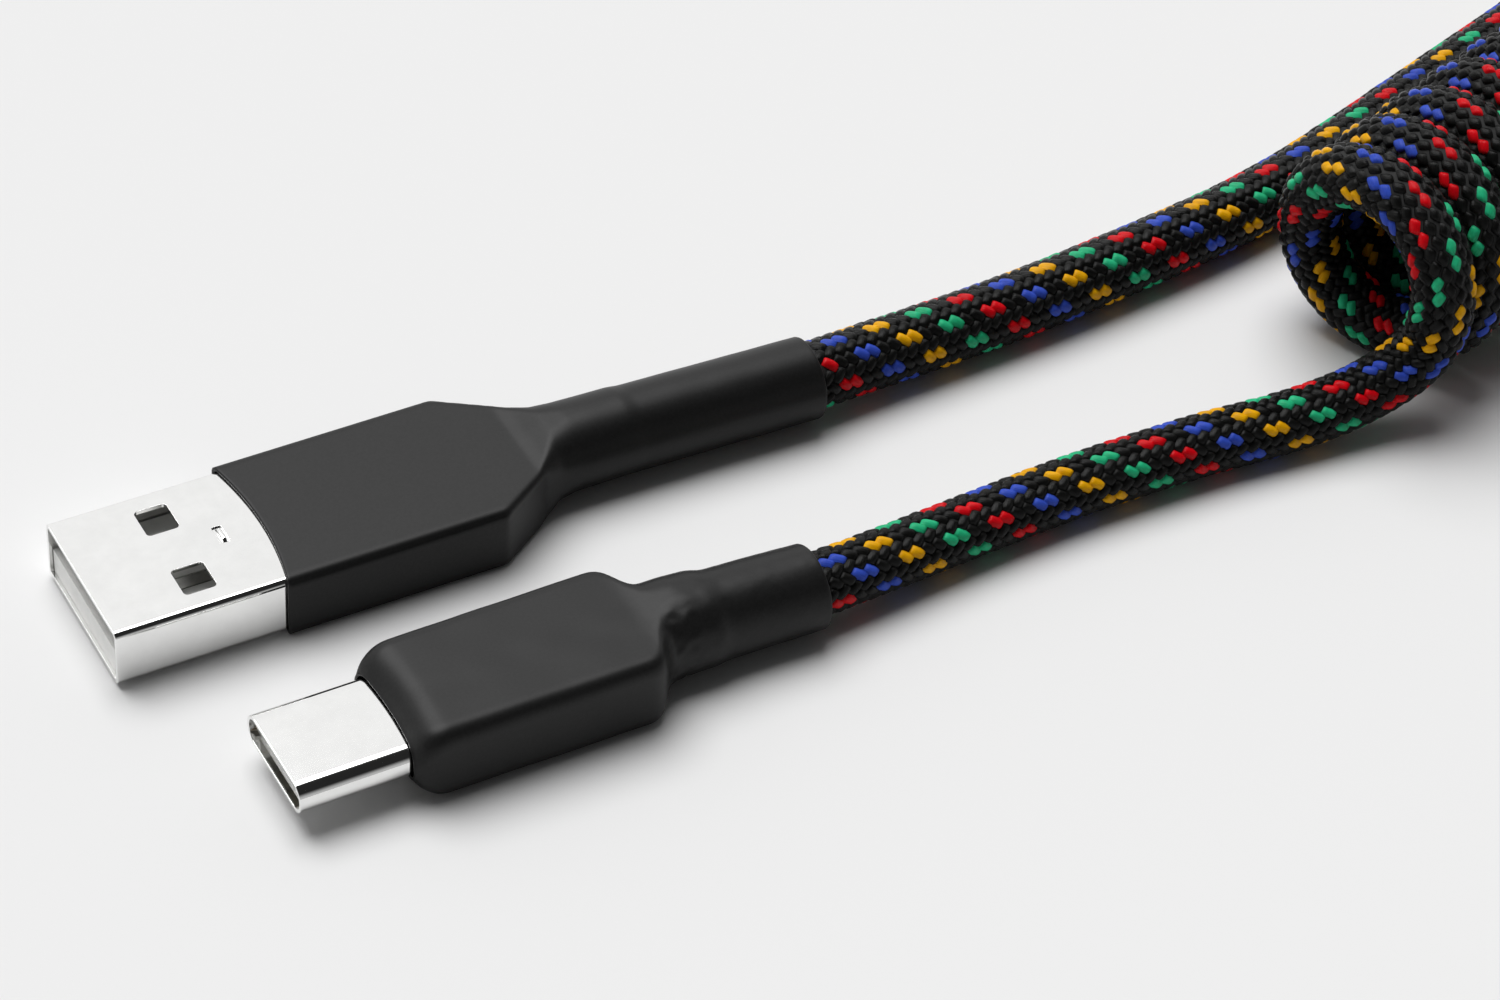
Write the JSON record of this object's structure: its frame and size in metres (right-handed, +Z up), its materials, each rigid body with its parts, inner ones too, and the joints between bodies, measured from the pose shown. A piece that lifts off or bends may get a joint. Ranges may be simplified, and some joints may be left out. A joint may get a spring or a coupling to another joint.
{
  "type": "charging cable",
  "caption": "Curly braided charging cable with a flat USB-A plug and a slim USB-C plug in heat-shrink sleeves.",
  "frame": {"origin": "on the resting surface, under the middle of the box that holds the two plugs", "axes": "+X from the plug mouths towards the cable, +Y from the USB-C plug to the USB-A plug, +Z up"},
  "size_m": [0.2264, 0.0659, 0.0182],
  "materials": {
    "shell": "polished nickel plate",
    "insulator_white": "satin moulded",
    "insulator_grey": "satin moulded",
    "contacts": "gold plated",
    "springs": "stamped",
    "solder": "bright solder",
    "housing": "moulded",
    "collar": "stamped",
    "wire_red": "insulated wire",
    "wire_white": "insulated wire",
    "wire_green": "insulated wire",
    "wire_black": "insulated wire",
    "jacket": "extruded",
    "board": "solder mask",
    "resistor": "fired film",
    "sleeve": "heat-shrink tubing, satin",
    "braid": "braided yarn with coloured flecks"
  },
  "bodies": {
    "cable": {"usb_a_shell": "shell", "usb_a_insulator": "insulator_white", "usb_a_contacts": "contacts", "usb_a_solder_joints": "solder", "usb_a_housing_top": "housing", "usb_a_housing_bottom": "housing", "usb_a_crimp_collar": "collar", "usb_a_wire_power": "wire_red", "usb_a_wire_data_minus": "wire_white", "usb_a_wire_data_plus": "wire_green", "usb_a_wire_ground": "wire_black", "usb_a_jacket_end": "jacket", "usb_a_braid_end": "braid", "usb_a_sleeve": "sleeve", "usb_c_shell": "shell", "usb_c_insulator": "insulator_grey", "usb_c_ground_springs": "springs", "usb_c_board": "board", "usb_c_resistor": "resistor", "usb_c_solder_joints": "solder", "usb_c_housing_top": "housing", "usb_c_housing_bottom": "housing", "usb_c_crimp_collar": "collar", "usb_c_wire_power": "wire_red", "usb_c_wire_data_minus": "wire_white", "usb_c_wire_data_plus": "wire_green", "usb_c_wire_ground": "wire_black", "usb_c_jacket_end": "jacket", "usb_c_braid_end": "braid", "usb_c_sleeve": "sleeve", "lead_c": "braid", "coil": "braid", "lead_a": "braid"},
    "upper_contacts": {"usb_c_contacts_upper": "contacts"},
    "lower_contacts": {"usb_c_contacts_lower": "contacts"},
    "latch_left": {"usb_c_latch_left": "springs"},
    "latch_right": {"usb_c_latch_right": "springs"}
  },
  "joints": [
    {"name": "upper_contacts_flex", "type": "hinge", "parent": "cable", "child": "upper_contacts", "pos_m": [-0.0138, -0.0101, 0.00336], "axis": [0, 1, 0], "range_deg": [0, 1.2], "stiffness_Nm_per_rad": 0.02},
    {"name": "lower_contacts_flex", "type": "hinge", "parent": "cable", "child": "lower_contacts", "pos_m": [-0.0138, -0.0101, 0.00244], "axis": [0, -1, 0], "range_deg": [0, 1.2], "stiffness_Nm_per_rad": 0.02},
    {"name": "latch_left_flex", "type": "hinge", "parent": "cable", "child": "latch_left", "pos_m": [-0.0138, -0.0069, 0.0029], "axis": [0, 0, -1], "range_deg": [0, 1.2], "stiffness_Nm_per_rad": 0.02},
    {"name": "latch_right_flex", "type": "hinge", "parent": "cable", "child": "latch_right", "pos_m": [-0.0138, -0.0133, 0.0029], "axis": [0, 0, 1], "range_deg": [0, 1.2], "stiffness_Nm_per_rad": 0.02}
  ]
}
